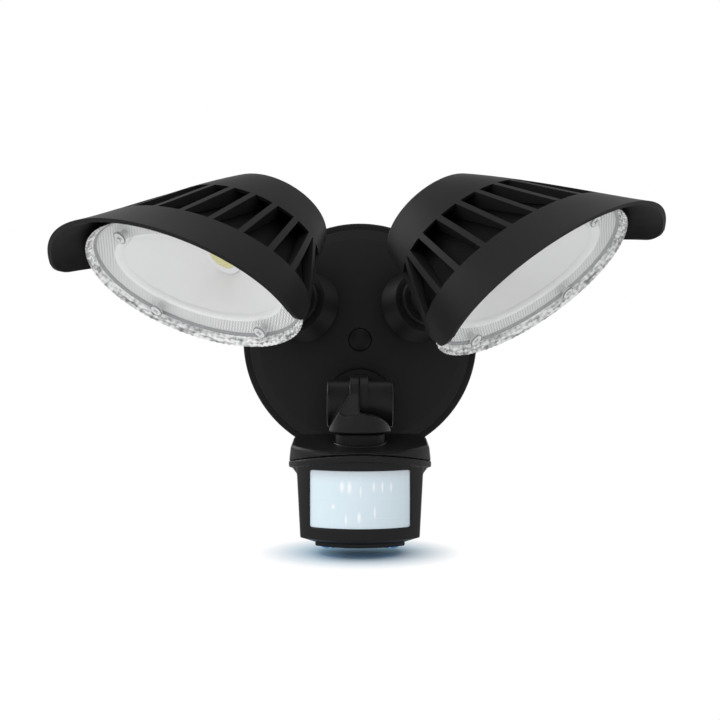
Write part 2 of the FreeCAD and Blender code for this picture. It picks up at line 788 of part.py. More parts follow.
def sensor_tilt_nut():
    return hex_nut(sensor_nut_af, sensor_pin_r + fit_gap, sensor_nut_seat(), right, sensor_nut_t)


def pan_ring():
    top = Vector(0, neck_y, neck_base_z - collar_len - cap_wall)
    return tube(pan_ring_r, pan_r + fit_gap, top, -up, pan_ring_t)


# ---- sensor head --------------------------------------------------------
def plan(half, front, rear, z, radius, rear_round=9.0):
    # outline from above: straight back with round corners, bowed front
    centre = front + radius
    side_y = centre - math.sqrt(radius ** 2 - half ** 2)
    k = rear_round * (1 - math.sqrt(0.5))
    x1, y1 = half - rear_round, rear - rear_round
    edges = [line((-x1, rear, z), (x1, rear, z)), arc((x1, rear, z), (half - k, rear - k, z), (half, y1, z)),
             line((half, y1, z), (half, side_y, z)), arc((half, side_y, z), (0, front, z), (-half, side_y, z)),
             line((-half, side_y, z), (-half, y1, z)),
             arc((-half, y1, z), (-half + k, rear - k, z), (-x1, rear, z))]
    return Part.Wire(edges)


def plan_loft(low, high):
    return Part.makeLoft([low, high], True, True)


def corner_edges(shape, half, front_limit):
    # the upright edges where the bowed front meets the sides
    found = []
    for e in shape.Edges:
        box = e.BoundBox
        upright = box.ZLength > 2 and box.ZLength > 4 * max(box.XLength, box.YLength)
        if upright and box.Center.y < front_limit and abs(box.Center.x) > half:
            found.append(e)
    return found


def seam_solid(drop, side):
    # everything below (side -1) or above (side 1) the arched seam lowered by drop
    half, rise = seam_half, seam_rise
    radius = (half ** 2 + rise ** 2) / (2 * rise)
    centre = Vector(0, -140, seam_side_z + rise - radius - drop)
    round_bar = rod(radius, centre, -out, 140)
    low = round_bar.common(block(-60, 60, -140, 0, seam_side_z - 40, 0))
    if side < 0:
        return low
    return block(-60, 60, -140, 0, seam_side_z - 40, 0).cut(round_bar)


def slope_plane_z(y):
    return cap_rear_z + math.tan(math.radians(cap_slope)) * (y - head_rear)


def under_slope(drop):
    y0, y1 = head_front - 10, head_rear + 10
    pts = [(y0, slope_plane_z(y0) - drop), (y1, slope_plane_z(y1) - drop), (y1, -80), (y0, -80)]
    return profile_yz(pts, -60, 60)


def cap_block(inset):
    low = plan(seam_half - inset, head_front + inset, head_rear - inset, seam_side_z - 4, front_r - inset)
    high = plan(top_half - inset, head_front + 1.5 + inset, head_rear - 0.5 - inset, cap_rear_z + 4,
                front_r - inset)
    return plan_loft(low, high).common(under_slope(inset))


def sensor_cap():
    shell = cap_block(0).common(seam_solid(0, 1))
    edge = corner_edges(shell, top_half - 2, neck_y)
    shell = shell.makeFillet(4.0, edge)
    rim = [e for e in shell.Edges if e.BoundBox.ZMin > slope_plane_z(e.BoundBox.YMin) - 0.3
           and abs(e.BoundBox.ZMax - slope_plane_z(e.BoundBox.YMax)) < 0.3]
    shell = shell.makeFillet(1.8, rim)
    hollow = cap_block(cap_wall)
    floor_z = neck_base_z - collar_len
    cup = rod(collar_r + run_gap + cap_wall, Vector(0, neck_y, floor_z - cap_wall), up, 12)
    cup = cup.common(cap_block(0.2))
    body = shell.cut(hollow).fuse(cup)
    recess = rod(collar_r + run_gap, Vector(0, neck_y, floor_z), up, 20)
    hole = rod(pan_r + fit_gap, Vector(0, neck_y, floor_z - 10), up, 20)
    return body.cut([recess, hole]).removeSplitter()


body_front = head_front + 1.6


def window_plug(margin, r_out, r_in):
    # piece of a ring in front of the head's middle, over the window's width and height
    centre = Vector(0, body_front + front_r, window_foot_z - margin)
    height = window_top_z - window_foot_z + 2 * margin
    ring = tube(r_out, r_in, centre, up, height)
    half = window_half + margin
    return ring.common(block(-half, half, head_front - 5, body_front + 14, window_foot_z - 5, window_top_z + 5))


def body_block(inset, z0, z1):
    k = (body_half - foot_half) / (body_top_z - body_foot_z)
    half0 = foot_half + k * (z0 - body_foot_z) - inset
    half1 = foot_half + k * (z1 - body_foot_z) - inset
    rear = head_rear - 1.5 - inset
    return plan_loft(plan(half0, body_front + inset, rear, z0, front_r - inset, 8.0),
                     plan(half1, body_front + inset, rear, z1, front_r - inset, 8.0))


def sensor_body():
    main = body_block(0, body_foot_z, seam_side_z + seam_rise + 2)
    main = main.makeFillet(2.5, corner_edges(main, foot_half - 2, neck_y))
    flange = plan_loft(plan(seam_half - 0.5, head_front + 0.4, head_rear - 0.4, seam_side_z - 8, front_r),
                       plan(seam_half, head_front, head_rear, seam_side_z + 6, front_r))
    flange = flange.makeFillet(4.0, corner_edges(flange, seam_half - 3, neck_y))
    flange = flange.common(seam_solid(seam_gap, -1)).cut(seam_solid(flange_drop, -1))
    k = flange_drop - 0.4
    inner = body_front + 0.3
    cove = plan_loft(plan(body_half - 0.3, inner, head_rear - 1.8, body_top_z, front_r, 8.0),
                     plan(seam_half - 0.8, inner, head_rear - 0.9, seam_side_z - k + 1, front_r))
    main = main.common(seam_solid(seam_gap, -1))
    cove = cove.common(seam_solid(k, -1))
    foot = plan_loft(plan(plate_half, plate_front, plate_rear, plate_z + plate_t, plate_front_r),
                     plan(foot_half - 0.3, inner, head_rear - 1.8, body_foot_z + 0.2, front_r, 8.0))
    body = main.fuse([flange, cove, foot])
    hollow = body_block(body_wall + 2, body_foot_z - 0.5, seam_side_z + seam_rise + 3)
    body = body.cut(hollow)
    rim = 3.4
    mouth = [plan(plate_half - rim, plate_front + rim, plate_rear - rim, z, plate_front_r - rim)
             for z in (plate_z, body_foot_z)]
    body = body.cut(plan_loft(*mouth))
    outer_r = front_r - window_recess
    body = body.cut(window_plug(0.1, front_r + 3, outer_r - window_t))
    body = body.cut(window_plug(-1.6, front_r + 3, front_r - 9))
    rails = [block(x0, x0 + 8, board_y0, board_y1, board_z - 2, board_z) for x0 in (-foot_half + 1, foot_half - 9)]
    rails = [r.common(body_block(1, body_foot_z, body_top_z)) for r in rails]
    return body.fuse(rails).removeSplitter()


def sensor_window():
    outer_r = front_r - window_recess
    return window_plug(0, outer_r, outer_r - window_t)


def sensor_base():
    plate = Part.Face(plan(plate_half, plate_front, plate_rear, plate_z, plate_front_r)).extrude(up * plate_t)
    plate = soften(plate, 0.8, lambda e: e.BoundBox.ZMax < plate_z + 0.01)
    holes = [rod(dial_r + run_gap, Vector(x, dial_y, plate_z - 5), up, 20) for x in dial_spots()]
    return plate.cut(holes)


def dial_spots():
    return [dial_pitch * i for i in (-1, 0, 1)]


def dial(x):
    low = plate_z - dial_proud
    knob = rod(dial_r, Vector(x, dial_y, low), up, dial_t)
    knob = soften(knob, 0.6, lambda e: abs(e.BoundBox.ZMax - low) < 0.01)
    stem = rod(shaft_r, Vector(x, dial_y, low), up, board_z - pot_h + 3 - low)
    slot = block(x - dial_slot / 2, x + dial_slot / 2, dial_y - dial_r - 1, dial_y + dial_r + 1, low, low + 1.0)
    return knob.fuse(stem).cut(slot)


def control_board():
    return block(-board_half, board_half, board_y0, board_y1, board_z, board_z + board_t)


def potentiometers():
    made = []
    for x in dial_spots():
        z0 = board_z - pot_h
        case = block(x - pot_w / 2, x + pot_w / 2, dial_y - pot_w / 2, dial_y + pot_w / 2, z0, board_z)
        made.append(case.cut(rod(shaft_r + fit_gap, Vector(x, dial_y, z0), up, 3.2)))
    return Part.makeCompound(made)


def detector_board():
    y, z = eye_y, board_z + board_t
    return block(-eye_half, eye_half, y, y + board_t, z, z + eye_height)


def heat_eye():
    z = (window_top_z + window_foot_z) / 2
    can = rod(eye_r, Vector(0, eye_y, z), out, eye_len)
    rim = rod(eye_r + 0.6, Vector(0, eye_y, z), out, 0.6)
    glass = block(-2.0, 2.0, eye_y - eye_len, eye_y - eye_len + 0.4, z - 1.5, z + 1.5)
    return can.fuse(rim).cut(glass)


def light_cell():
    z = (window_top_z + window_foot_z) / 2
    return rod(cell_r, Vector(cell_x, eye_y, z), out, cell_len)


# ---- the whole light ----------------------------------------------------
def placed(shape, frame):
    copy = shape.copy()
    copy.Placement = frame.multiply(copy.Placement)
    return copy


def pieces():
    made = {
        "canopy": canopy(), "canopy_gasket": canopy_gasket(), "crossbar": crossbar(), "crossbar_nut": crossbar_nut(),
        "ground_screw": ground_screw(), "centre_screw": centre_screw(), "screw_plug": screw_plug(),
        "led_driver": driver_case(), "sensor_arm": sensor_arm(), "sensor_arm_ring": sensor_ring(),
        "sensor_arm_nut": sensor_arm_nut(), "sensor_neck": sensor_neck(), "sensor_tilt_screw": sensor_tilt_screw(),
        "sensor_tilt_nut": sensor_tilt_nut(), "pan_ring": pan_ring(), "sensor_cap": sensor_cap(),
        "sensor_body": sensor_body(), "sensor_window": sensor_window(), "sensor_base": sensor_base(),
        "control_board": control_board(), "potentiometers": potentiometers(), "detector_board": detector_board(),
        "heat_eye": heat_eye(), "light_cell": light_cell(),
    }
    for name, x in zip(("left_dial", "middle_dial", "right_dial"), dial_spots()):
        made[name] = dial(x)
    on_arm = {"arm": lamp_arm(), "arm_ring": arm_ring(), "arm_nut": arm_nut()}
    on_head = {"hood": hood(), "heat_core": heat_core(), "lens": lens(), "lens_seal": lens_seal(),
               "lens_screws": lens_screw_set(), "reflector": reflector(), "led_chip": led_chip(),
               "led_board": led_board(), "hood_screws": hood_screw_set(), "tilt_screw": tilt_screw(),
               "tilt_nut": tilt_nut()}
    for side, word in ((-1, "left"), (1, "right")):
        for name, shape in on_arm.items():
            made[word + "_" + name] = placed(shape, arm_frame(side))
        for name, shape in on_head.items():
            made[word + "_" + name] = placed(shape, head_frame(side))
    return made


def main():
    os.makedirs("parts", exist_ok=True)
    for name, shape in pieces().items():
        shape.exportStep("parts/" + name + ".step")
        print(name, len(shape.Solids), shape.isValid(), round(shape.Volume))


main()
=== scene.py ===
import json
import math

import bpy
from mathutils import Matrix, Vector


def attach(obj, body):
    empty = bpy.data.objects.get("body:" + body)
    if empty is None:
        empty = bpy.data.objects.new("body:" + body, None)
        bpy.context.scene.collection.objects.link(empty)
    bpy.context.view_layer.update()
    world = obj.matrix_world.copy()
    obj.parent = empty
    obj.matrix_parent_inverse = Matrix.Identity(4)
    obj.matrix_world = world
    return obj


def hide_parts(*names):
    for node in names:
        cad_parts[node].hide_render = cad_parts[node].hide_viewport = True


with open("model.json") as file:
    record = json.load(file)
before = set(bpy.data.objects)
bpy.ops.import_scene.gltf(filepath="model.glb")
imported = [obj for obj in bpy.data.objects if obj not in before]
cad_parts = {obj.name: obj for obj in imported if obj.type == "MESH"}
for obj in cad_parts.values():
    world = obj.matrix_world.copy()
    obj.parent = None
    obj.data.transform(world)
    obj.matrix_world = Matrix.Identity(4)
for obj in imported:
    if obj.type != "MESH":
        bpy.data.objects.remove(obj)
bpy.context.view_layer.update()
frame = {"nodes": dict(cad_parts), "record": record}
nodes = frame["nodes"]
print("frame loaded:", len(nodes), "nodes")


class Wire:
    # one socket in a node tree; sums on it add Math nodes
    def __init__(self, finish, socket):
        self.finish, self.socket = finish, socket

    def sum(self, operation, a, b=0.0, clamp=False):
        return self.finish.node("ShaderNodeMath", {"operation": operation, "use_clamp": clamp}, {0: a, 1: b})

    def __add__(self, other): return self.sum("ADD", self, other)
    def __radd__(self, other): return self.sum("ADD", other, self)
    def __sub__(self, other): return self.sum("SUBTRACT", self, other)
    def __rsub__(self, other): return self.sum("SUBTRACT", other, self)
    def __mul__(self, other): return self.sum("MULTIPLY", self, other)
    def __rmul__(self, other): return self.sum("MULTIPLY", other, self)
    def __truediv__(self, other): return self.sum("DIVIDE", self, other)
    def __abs__(self): return self.sum("ABSOLUTE", self)
    def __pow__(self, other): return self.sum("POWER", self, other)
    def __mod__(self, other): return self.sum("FLOORED_MODULO", self, other)
    def __lt__(self, other): return self.sum("LESS_THAN", self, other)
    def __gt__(self, other): return self.sum("GREATER_THAN", self, other)

    def clamped(self): return self.sum("ADD", self, 0.0, True)
    def sine(self): return self.sum("SINE", self)
    def most(self, other): return self.sum("MAXIMUM", self, other)


class Finish:
    # the nodes of a material or of the world
    def __init__(self, owner):
        self.owner = owner
        owner.use_nodes = True
        self.tree = owner.node_tree
        self.tree.nodes.clear()

    def node(self, kind, settings=None, inputs=None, out=0):
        made = self.tree.nodes.new(kind)
        for key, value in (settings or {}).items():
            setattr(made, key, value)
        for key, value in (inputs or {}).items():
            if isinstance(value, Wire):
                self.tree.links.new(value.socket, made.inputs[key])
            else:
                made.inputs[key].default_value = value
        return Wire(self, made.outputs[out]) if made.outputs else None

    def place(self, name="Object"):
        return self.node("ShaderNodeTexCoord", out=name)

    def axes(self, vector):
        split = self.node("ShaderNodeSeparateXYZ", None, {0: vector}).socket.node
        return [Wire(self, socket) for socket in split.outputs]

    def noise(self, scale, detail=2.0, vector=None, rough=0.5):
        return self.node("ShaderNodeTexNoise", None, {"Vector": vector or self.place(), "Scale": scale,
                                                      "Detail": detail, "Roughness": rough})

    def stretched(self, scale, vector=None):
        return self.node("ShaderNodeMapping", None, {"Vector": vector or self.place(), "Scale": scale})

    def mix(self, factor, a, b):
        return self.node("ShaderNodeMix", {"data_type": "RGBA"}, {"Factor": factor, 6: a, 7: b}, 2)

    def bump(self, height, strength, distance):
        return self.node("ShaderNodeBump", None, {"Height": height, "Strength": strength, "Distance": distance})

    def output(self, shader, kind="ShaderNodeOutputMaterial"):
        self.node(kind, None, {0: shader})

    def surface(self, inputs):
        self.output(self.node("ShaderNodeBsdfPrincipled", None, inputs))
        return self.owner


def newFinish(name):
    return Finish(bpy.data.materials.new(name))


def rgb(r, g, b):
    # a colour written as 0 to 255 screen values
    lift = lambda v: v / 12.92 if v <= 0.04045 else ((v + 0.055) / 1.055) ** 2.4
    return tuple(lift(v / 255) for v in (r, g, b)) + (1.0,)


def shade(colour, factor):
    return tuple(min(1.0, c * factor) for c in colour[:3]) + (1.0,)


paintDetail = {"cloudScale": 45, "cloudPart": 0.7, "speckSize": 0.35, "dark": 0.86, "pale": 1.12,
               "glossSpread": 0.12, "fineGloss": 0.4, "speckBump": 0.3, "seatShade": 0.25}


def paint(name, colour, roughness, grain, grainSize, specular=0.25, shadeBelow=None):
    # satin paint or moulded plastic: clouded tone, uneven gloss, fine grain; below a given height nearly black, as
    # painted shade
    d = paintDetail
    f = newFinish(name)
    cloud = f.noise(d["cloudScale"], 3)
    fine = f.noise(1 / grainSize, 2, rough=0.6)
    speck = f.noise(d["speckSize"] / grainSize, 1)
    patches = (cloud * d["cloudPart"] + fine * (1 - d["cloudPart"])).clamped()
    tone = f.mix(patches, shade(colour, d["dark"]), shade(colour, d["pale"]))
    # painted shade: below the given height the tone goes nearly black, where a collar sits down in its seat
    if shadeBelow is not None:
        z = f.axes(f.place())[2]
        tone = f.mix(z < shadeBelow, tone, shade(colour, d["seatShade"]))
    sheen = (1 - d["fineGloss"]) * cloud + d["fineGloss"] * fine
    gloss = roughness - d["glossSpread"] / 2 + d["glossSpread"] * sheen
    height = (1 - d["speckBump"]) * fine + d["speckBump"] * speck
    return f.surface({"Base Color": tone, "Roughness": gloss, "Specular IOR Level": specular,
                      "Normal": f.bump(height, grain, grainSize * 0.5)})


platedDetail = {"scratchScale": 900, "scratchLay": (1, 1, 14), "patchScale": 160, "dark": 0.8,
                "shiny": 0.08, "glossSpread": 0.2, "scratchBump": (0.15, 0.0002)}


def plated(name, colour, roughness, metallic=1.0):
    # plated or cast metal: fine scratches one way, soft patches of dull
    d = platedDetail
    f = newFinish(name)
    scratch = f.noise(d["scratchScale"], 2, f.stretched(d["scratchLay"]))
    patch = f.noise(d["patchScale"], 3)
    tone = f.mix((0.5 * scratch + 0.5 * patch).clamped(), shade(colour, d["dark"]), colour)
    gloss = roughness - d["shiny"] + d["glossSpread"] * patch
    return f.surface({"Base Color": tone, "Metallic": metallic, "Roughness": gloss,
                      "Normal": f.bump(scratch, *d["scratchBump"])})


rubberDetail = {"skinScale": 1500, "cloudScale": 90, "pale": 1.5, "roughness": 0.72, "glossSpread": 0.15,
                "skinBump": (0.3, 0.0003), "specular": 0.2}


def rubber(name, colour):
    d = rubberDetail
    f = newFinish(name)
    skin = f.noise(d["skinScale"], 3)
    tone = f.mix(f.noise(d["cloudScale"], 2), colour, shade(colour, d["pale"]))
    return f.surface({"Base Color": tone, "Roughness": d["roughness"] + d["glossSpread"] * skin,
                      "Normal": f.bump(skin, *d["skinBump"]), "Specular IOR Level": d["specular"]})


coverDetail = {"dark": rgb(226, 229, 231), "pale": rgb(240, 242, 243), "waveScale": 60, "turning": 0.35,
               "faceAlpha": 0.07, "edgeAlpha": 0.4, "edgePower": 3, "roughness": 0.06, "glossSpread": 0.05,
               "waveBump": (0.05, 0.0005)}


def clearCover(name):
    # clear moulded cover: nearly unseen face on, glassy where it turns away
    d = coverDetail
    f = newFinish(name)
    turned = f.node("ShaderNodeLayerWeight", None, {"Blend": d["turning"]}, "Facing")
    wave = f.noise(d["waveScale"], 2)
    return f.surface({"Base Color": f.mix(wave, d["dark"], d["pale"]),
                      "Roughness": d["roughness"] + d["glossSpread"] * wave,
                      "Alpha": d["faceAlpha"] + d["edgeAlpha"] * turned ** d["edgePower"],
                      "Normal": f.bump(wave, *d["waveBump"])})


dotDetail = {"dark": rgb(158, 159, 160), "pale": rgb(252, 252, 252), "domePart": 1.9, "darker": 0.25,
             "cloudPart": 0.3, "cloudScale": 140, "roughness": 0.3, "domeGloss": 0.12, "domeBump": 0.6,
             "domeRise": 0.3, "specular": 0.35}


def dotted(name, pitch):
    # strip of moulded dots in slanting rows, each dot a little dome; the map's units are dot pitches
    d = dotDetail
    f = newFinish(name)
    u, v = f.axes(f.place("UV"))[:2]
    dome = abs(((u + v) * math.pi).sine()) * abs(((u - v) * math.pi).sine())
    light = (dome * d["domePart"] - d["darker"] + d["cloudPart"] * f.noise(d["cloudScale"], 2)).clamped()
    return f.surface({"Base Color": f.mix(light, d["dark"], d["pale"]),
                      "Roughness": d["roughness"] - d["domeGloss"] * dome,
                      "Normal": f.bump(dome, d["domeBump"], pitch * d["domeRise"]),
                      "Specular IOR Level": d["specular"]})


fluteDetail = {"dark": rgb(96, 98, 99), "pale": rgb(252, 252, 252), "level": 0.42, "ridgePart": 0.3,
               "streakPart": 3.2, "streakLay": (0.8, 1.9, 1), "patchPart": 1.8, "patchLay": (0.21, 0.8, 1),
               "roughness": 0.12, "ridgeGloss": 0.12, "ridgeBump": (0.4, 0.0005)}


def fluted(name):
    # the cover's fluted side wall, bright on the ridges and grey between; one flute to each unit of the map
    d = fluteDetail
    f = newFinish(name)
    u = f.axes(f.place("UV"))[0]
    ridge = abs((u * math.pi).sine())
    streak = f.noise(1.0, 3, f.stretched(d["streakLay"], f.place("UV")))
    patch = f.noise(1.0, 1, f.stretched(d["patchLay"], f.place("UV")))
    light = ridge * d["ridgePart"] + (streak - 0.5) * d["streakPart"] + (patch - 0.5) * d["patchPart"]
    tone = f.mix((light + d["level"]).clamped(), d["dark"], d["pale"])
    return f.surface({"Base Color": tone, "Roughness": d["roughness"] + d["ridgeGloss"] * ridge,
                      "Normal": f.bump(ridge, *d["ridgeBump"])})


smokeDetail = {"dark": rgb(70, 72, 73), "pale": rgb(150, 151, 152), "streakPart": 1.6, "darker": 0.3,
               "streakLay": (0.16, 3.0, 1), "roughness": 0.1, "glossSpread": 0.1, "streakBump": (0.15, 0.0004)}


def smoked(name):
    # smooth foot of the side wall and the boss rims, where the cover looks grey: long soft streaks
    d = smokeDetail
    f = newFinish(name)
    streak = f.noise(1.0, 3, f.stretched(d["streakLay"], f.place("UV")))
    tone = f.mix((streak * d["streakPart"] - d["darker"]).clamped(), d["dark"], d["pale"])
    return f.surface({"Base Color": tone, "Roughness": d["roughness"] + d["glossSpread"] * streak,
                      "Normal": f.bump(streak, *d["streakBump"])})


bowlDetail = {"hazeScale": 35, "fineScale": 1800, "metallic": 0.12, "roughness": 0.5, "glossSpread": 0.1,
              "fineBump": (0.06, 0.0002), "specular": 0.3}


def silvered(name, dark, pale):
    # reflector: vacuum metal under lacquer, satin and even
    d = bowlDetail
    f = newFinish(name)
    haze = f.noise(d["hazeScale"], 3)
    return f.surface({"Base Color": f.mix(haze, dark, pale), "Metallic": d["metallic"],
                      "Roughness": d["roughness"] + d["glossSpread"] * haze,
                      "Normal": f.bump(f.noise(d["fineScale"], 2), *d["fineBump"]),
                      "Specular IOR Level": d["specular"]})


diodeDetail = {"dark": rgb(214, 206, 124), "pale": rgb(228, 221, 158), "cellScale": 620, "uneven": 0.15,
               "dotPart": 1.6, "roughness": 0.3, "dotGloss": 0.12, "dotBump": (0.15, 0.0003)}


def silicone(name):
    # yellow cover over the diodes, with the dots just showing through
    d = diodeDetail
    f = newFinish(name)
    cells = f.node("ShaderNodeTexVoronoi", {"feature": "F1"},
                   {"Vector": f.place(), "Scale": d["cellScale"], "Randomness": d["uneven"]})
    dots = (1 - cells * d["dotPart"]).clamped()
    return f.surface({"Base Color": f.mix(dots, d["dark"], d["pale"]),
                      "Roughness": d["roughness"] + d["dotGloss"] * dots,
                      "Normal": f.bump(dots, *d["dotBump"])})


# the top colour is painted shade: a darker band along the window's top edge, where the recess above shades it
windowDetail = {"left": rgb(221, 237, 246), "right": rgb(208, 223, 232), "top": rgb(196, 206, 213),
                "glint": rgb(252, 254, 255), "half": 0.0226, "acrossPower": 1.6, "topZ": -0.0605,
                "bandHeight": 0.006, "cloudScale": 80, "cloudPart": 0.18, "specular": 0.3,
                # moulded cells: size in metres, rings in each, where the seams start
                "cellWidth": 0.0064, "cellHeight": 0.009, "ringOval": (1.4, 2.2), "ringCount": 30.0,
                "ringPart": 0.05, "seamFrom": (0.47, 0.475), "seamPart": 0.06,
                "roughness": 0.26, "ringGloss": 0.06, "cellBump": (0.1, 0.0003),
                # painted glints on raised spots: across, height, half width, half height, in mm
                "glintGrow": (1.25, 1.1), "glintPart": 0.85,
                "glintPlaces": ((-8.1, -66.9, 0.9, 2.9), (-4.7, -67.2, 0.9, 3.1), (0.3, -69.0, 0.35, 2.6),
                           (6.1, -66.9, 0.45, 2.6), (10.0, -67.0, 0.45, 2.8), (13.9, -67.2, 0.4, 2.7),
                           (-12.0, -75.9, 0.8, 1.3), (-6.3, -81.6, 0.6, 2.7), (-0.4, -80.6, 0.8, 2.7),
                           (6.6, -78.3, 0.45, 2.9))}


def windowFilm(name):
    # milky window: faint moulded cells on its inside, a few raised spots with painted glints, and a band of painted
    # shade along its top
    d = windowDetail
    f = newFinish(name)
    x, y, z = f.axes(f.place())
    cellX = ((x / d["cellWidth"]) % 1.0) - 0.5
    cellZ = ((z / d["cellHeight"]) % 1.0) - 0.5
    ovalX, ovalZ = d["ringOval"]
    ring = ((cellX * cellX * ovalX + cellZ * cellZ * ovalZ) * d["ringCount"]) % 1.0
    seam = (abs(cellX) > d["seamFrom"][0]).most(abs(cellZ) > d["seamFrom"][1])
    across = (x / d["half"] * 0.5 + 0.5).clamped() ** d["acrossPower"]
    milk = across + d["cloudPart"] * f.noise(d["cloudScale"], 3) - d["cloudPart"] / 2 + d["ringPart"] * ring
    base = f.mix(milk.clamped(), d["left"], d["right"])
    # painted shade: a darker band along the top edge
    base = f.mix(((z - d["topZ"]) / d["bandHeight"] + 1.0).clamped() ** 2, base, d["top"])
    # painted highlights: bright glint spots, which the bump also raises a little
    paintedGlints = None
    for spotX, spotZ, wide, tall in d["glintPlaces"]:
        offX = (x * 1000 - spotX) / (d["glintGrow"][0] * wide)
        offZ = (z * 1000 - spotZ) / (d["glintGrow"][1] * tall)
        spot = (1 - offX * offX - offZ * offZ).clamped()
        paintedGlints = spot if paintedGlints is None else paintedGlints.most(spot)
    tone = f.mix((paintedGlints * d["glintPart"] + seam * d["seamPart"]).clamped(), base, d["glint"])
    return f.surface({"Base Color": tone, "Roughness": d["roughness"] + d["ringGloss"] * ring,
                      "Specular IOR Level": d["specular"],
                      "Normal": f.bump(0.25 * ring + paintedGlints - 0.3 * seam, *d["cellBump"])})


boardDetail = {"dark": rgb(22, 92, 48), "pale": rgb(58, 140, 84), "pitch": (1.7, 2.3), "bare": (0.7, 0.78),
               "runPart": 0.5, "weavePart": 0.3, "weaveScale": 700, "roughness": 0.3, "glossSpread": 0.15,
               "runBump": (0.2, 0.0002)}


def board(name):
    # lacquered board with copper runs just showing
    d = boardDetail
    f = newFinish(name)
    x, y = f.axes(f.place())[:2]
    along = ((x * 1000 / d["pitch"][0]) % 1.0) > d["bare"][0]
    runs = along.most(((y * 1000 / d["pitch"][1]) % 1.0) > d["bare"][1])
    weave = f.noise(d["weaveScale"], 2)
    tone = f.mix(runs * d["runPart"] + weave * d["weavePart"], d["dark"], d["pale"])
    return f.surface({"Base Color": tone, "Roughness": d["roughness"] + d["glossSpread"] * weave,
                      "Normal": f.bump(runs, *d["runBump"])})


# paint takes colour, roughness, bump strength, grain size in metres and specular level
# the core's colour is darker than the other blacks: the core is black, and darker still as painted shade in the
# louvre gaps
blacks = {"canopy": rgb(27, 27, 28), "hood": rgb(30, 30, 31), "sensor": rgb(23, 23, 24), "core": rgb(10, 10, 11)}
sensorPlastic = (blacks["sensor"], 0.38, 0.08, 0.0003, 0.16)
finishes = {
    "black_metal": paint("satinBlackMetal", blacks["canopy"], 0.46, 0.10, 0.0004, 0.12),
    "hood_black": paint("satinBlackHood", blacks["hood"], 0.48, 0.12, 0.0004, 0.04),
    "black_plastic": paint("satinBlackPlastic", *sensorPlastic),
    "black_steel": paint("blackZinc", rgb(24, 24, 25), 0.4, 0.08, 0.0003, 0.2),
    # the core is black and painted darker still, as shade inside the louvre gaps
    "core_metal": paint("dullBlackCorePaintedShade", blacks["core"], 0.7, 0.2, 0.0006, 0.03),
    "plug_plastic": paint("plugBlack", rgb(25, 25, 26), 0.45, 0.06, 0.0003, 0.1),
    "pot_case": paint("potCase", rgb(40, 40, 42), 0.5, 0.1, 0.0003),
    "driver_case": paint("driverCase", rgb(205, 205, 202), 0.5, 0.1, 0.0004),
    "cell_face": paint("cellFace", rgb(150, 96, 70), 0.35, 0.05, 0.0003),
    "dial_blue": paint("dialBlue", rgb(28, 140, 235), 0.34, 0.06, 0.0003, 0.4),
    "green_screw": plated("greenPlated", rgb(60, 130, 80), 0.4),
    "zinc_steel": plated("zincPlated", rgb(170, 172, 176), 0.34),
    "bright_screw": plated("paleScrew", rgb(222, 223, 224), 0.45, 0.1),
    "eye_can": plated("eyeCan", rgb(176, 174, 168), 0.3),
    "led_plate": paint("ledPlate", rgb(225, 225, 222), 0.45, 0.05, 0.0003),
    "black_rubber": rubber("blackRubber", rgb(24, 24, 24)),
    "circuit_board": board("circuitBoard"),
    "clear_lens": clearCover("clearCover"),
    "reflector_silver": silvered("silveredBowl", rgb(229, 229, 229), rgb(235, 235, 235)),
    "led_yellow": silicone("ledSilicone"),
    "milky_window": windowFilm("milkyWindow"),
}
for row in frame["record"]["subparts"]:
    piece = nodes[row["node"]]
    piece.data.materials.clear()
    piece.data.materials.append(finishes[row["material_slot"]])
print("finishes made:", len(finishes))


# where the lamp arms sit on the canopy, in metres, and how they lie and turn in the photograph, in degrees
lampHead = {"seat": (0.03135, -0.02323, 0.01866), "splay": 32.1, "splayTurn": 28.8, "reach": 0.0245,
            "swivel": {"left": -10.8, "right": 22.7}, "tilt": {"left": 59.2, "right": 58.1},
            "pivot": (0.0, 0.0461, -0.0405)}


def headFrame(word):
    # matrix from a lamp head's own frame, lens face at y = 0 and front along -Y, to the whole light's
    side = -1 if word == "left" else 1
    s, t = math.radians(lampHead["splay"]), math.radians(lampHead["splayTurn"])
    axis = Vector((side * math.sin(s) * math.cos(t), -math.cos(s), math.sin(s) * math.sin(t)))
    flat = Vector((0, 0, 1)).cross(axis).normalized()
    base = Matrix((flat, -axis, flat.cross(-axis))).transposed().to_4x4()
    seat = Vector(lampHead["seat"])
    seat.x *= side
    turn = Matrix.Rotation(math.radians(lampHead["swivel"][word]), 4, axis)
    dip = Matrix.Rotation(math.radians(lampHead["tilt"][word]), 4, "X")
    arm = Matrix.Translation((0, -lampHead["reach"], 0))
    return Matrix.Translation(seat) @ turn @ base @ arm @ dip @ Matrix.Translation(-Vector(lampHead["pivot"]))


def meshPiece(name, shape, material, body, matrix):
    points, faces, uvs = shape
    data = bpy.data.meshes.new(name)
    data.from_pydata([tuple(p) for p in points], [], faces)
    layer = data.uv_layers.new(name="map")
    for loop in data.loops:
        layer.data[loop.index].uv = uvs[loop.vertex_index]
    data.transform(matrix)
    for face in data.polygons:
        face.use_smooth = True
    data.materials.append(material)
    data.update()
    piece = bpy.data.objects.new(name, data)
    bpy.context.collection.objects.link(piece)
    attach(piece, body)


def ovalBand(rings, count, turns, wave=None):
    # strip round the lens through rings of half width, half height, rise and depth, in mm; wave moves it inward
    points, faces, uvs = [], [], []
    for i in range(count + 1):
        t = 2 * math.pi * i / count
        inward = wave(i) if wave else 0.0
        for row, (a, b, rise, y) in enumerate(rings):
            a, b = a - inward, b - inward
            points.append((a * math.cos(t) / 1000, y / 1000, (rise + b * math.sin(t)) / 1000))
            uvs.append((turns * i / count, row))
    n = len(rings)
    for i in range(count):
        for j in range(n - 1):
            k = i * n + j
            faces.append((k, k + 1, k + n + 1, k + n))
    return points, faces, uvs


def spread(first, last, steps):
    return [tuple(p + (q - p) * k / steps for p, q in zip(first, last)) for k in range(steps + 1)]


